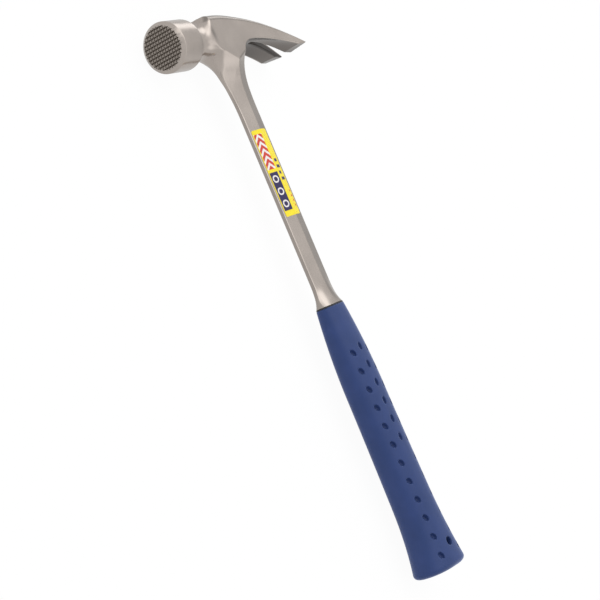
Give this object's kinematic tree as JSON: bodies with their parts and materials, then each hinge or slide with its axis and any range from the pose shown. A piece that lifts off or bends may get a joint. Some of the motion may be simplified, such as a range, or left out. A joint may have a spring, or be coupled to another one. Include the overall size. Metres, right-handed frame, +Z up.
{
  "type": "framing hammer",
  "caption": "One-piece forged steel framing hammer with a milled striking face, straight rip claws, a ridged shank and a dimpled soft grip with a hang hole.",
  "frame": {"origin": "centre of the bounding box in plan, on the surface that the hammer lies on", "axes": "+X along the handle from the head to the butt, +Y towards the claws, with the striking face on -Y, +Z up out of the labelled side"},
  "size_m": [0.4088, 0.144, 0.0384],
  "materials": {
    "forged_steel": "ground and satin polished, warm grey",
    "liner_nylon": "hard moulded nylon, nearly black",
    "grip_vinyl": "soft moulded vinyl, satin navy blue",
    "label_foil": "printed foil, satin"
  },
  "bodies": {
    "root": {"forged_hammer": "forged_steel", "grip_liner": "liner_nylon", "grip": "grip_vinyl", "label": "label_foil"}
  },
  "joints": []
}
